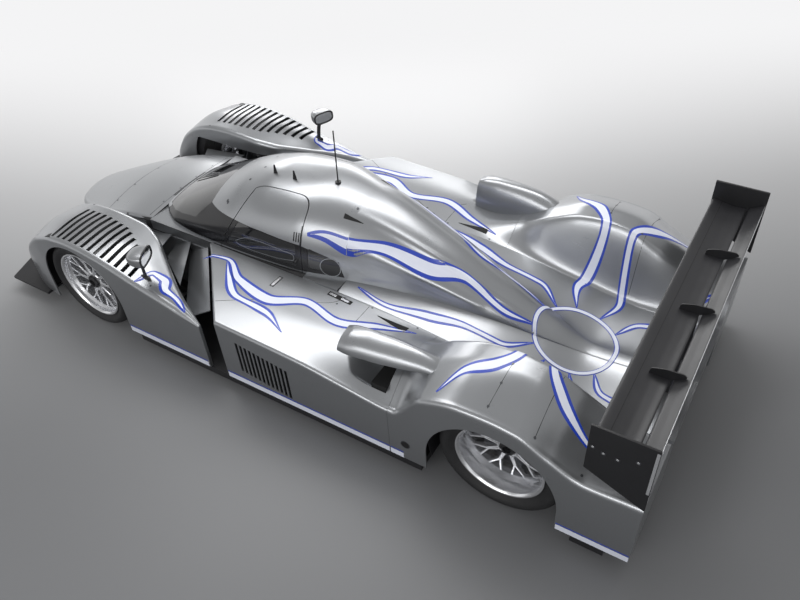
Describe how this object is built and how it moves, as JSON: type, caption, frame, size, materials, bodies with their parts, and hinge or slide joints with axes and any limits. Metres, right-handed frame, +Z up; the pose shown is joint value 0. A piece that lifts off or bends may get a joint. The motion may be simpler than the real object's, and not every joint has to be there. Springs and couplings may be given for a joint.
{
  "type": "closed sports prototype race car",
  "caption": "Closed-cockpit endurance race car with enclosed wheels, swing-up doors, full-width rear wing and a flat front splitter.",
  "frame": {"origin": "on the ground, under the middle of the car's length, on its centre plane", "axes": "+X forward, +Y to the car's left, +Z up"},
  "size_m": [4.65, 2, 1.3701],
  "materials": {
    "panel": "satin silver body panel",
    "black": "matt black composite",
    "glass": "dark tinted polycarbonate",
    "lens": "clear moulded cover",
    "red_lens": "moulded red lens",
    "tyre": "smooth racing rubber",
    "alloy": "forged and polished",
    "steel": "machined",
    "black_trim": "black composite"
  },
  "bodies": {
    "body": {"floor": "black", "splitter": "black", "nose_cone": "panel", "tub": "panel", "canopy": "panel", "windscreen": "glass", "engine_cover": "panel", "rear_wing": "black", "engine": "steel", "antenna": "black", "seat": "black_trim", "steering_wheel": "black_trim", "front_fender_left": "panel", "front_fender_right": "panel", "headlamp_left": "lens", "headlamp_right": "lens", "sidepod_left": "panel", "sidepod_right": "panel", "rear_fender_left": "panel", "rear_fender_right": "panel", "tail_lamp_left": "red_lens", "tail_lamp_right": "red_lens", "quarter_window_left": "glass", "quarter_window_right": "glass", "endplate_left": "black", "endplate_right": "black", "wing_pylon_left": "black", "wing_pylon_right": "black", "scoop_left": "panel", "scoop_right": "panel", "channel_vanes_left": "panel", "channel_vanes_right": "panel", "mirror_left": "panel", "mirror_right": "panel", "knuckle_rear_left": "steel", "knuckle_rear_right": "steel", "wishbones_front_left": "steel", "wishbones_front_right": "steel", "wishbones_rear_left": "steel", "wishbones_rear_right": "steel"},
    "steered_left": {"knuckle_front_left": "steel"},
    "steered_right": {"knuckle_front_right": "steel"},
    "wheel_front_left": {"tyre_front_left": "tyre", "rim_front_left": "alloy"},
    "wheel_front_right": {"tyre_front_right": "tyre", "rim_front_right": "alloy"},
    "wheel_rear_left": {"tyre_rear_left": "tyre", "rim_rear_left": "alloy"},
    "wheel_rear_right": {"tyre_rear_right": "tyre", "rim_rear_right": "alloy"},
    "door_body_left": {"door_left": "panel", "door_window_left": "glass"},
    "door_body_right": {"door_right": "panel", "door_window_right": "glass"}
  },
  "joints": [
    {"name": "steer_left", "type": "hinge", "parent": "body", "child": "steered_left", "pos_m": [1.34, 0.723, 0.325], "axis": [0, 0, 1], "range_deg": [-16, 16]},
    {"name": "steer_right", "type": "hinge", "parent": "body", "child": "steered_right", "pos_m": [1.34, -0.723, 0.325], "axis": [0, 0, 1], "range_deg": [-16, 16]},
    {"name": "spin_front_left", "type": "hinge", "parent": "steered_left", "child": "wheel_front_left", "pos_m": [1.34, 0.8, 0.325], "axis": [0, 1, 0], "continuous": true},
    {"name": "spin_front_right", "type": "hinge", "parent": "steered_right", "child": "wheel_front_right", "pos_m": [1.34, -0.8, 0.325], "axis": [0, 1, 0], "continuous": true},
    {"name": "spin_rear_left", "type": "hinge", "parent": "body", "child": "wheel_rear_left", "pos_m": [-1.61, 0.765, 0.345], "axis": [0, 1, 0], "continuous": true},
    {"name": "spin_rear_right", "type": "hinge", "parent": "body", "child": "wheel_rear_right", "pos_m": [-1.61, -0.765, 0.345], "axis": [0, 1, 0], "continuous": true},
    {"name": "door_hinge_left", "type": "hinge", "parent": "body", "child": "door_body_left", "pos_m": [0.5528, 0.4425, 0.612], "axis": [0.4631, 0.2385, -0.8536], "range_deg": [0, 60]},
    {"name": "door_hinge_right", "type": "hinge", "parent": "body", "child": "door_body_right", "pos_m": [0.5528, -0.4425, 0.612], "axis": [-0.4631, 0.2385, 0.8536], "range_deg": [0, 60]}
  ],
  "couplings": [
    {"joint": "steer_right", "follows": "steer_left", "ratio": 1}
  ]
}
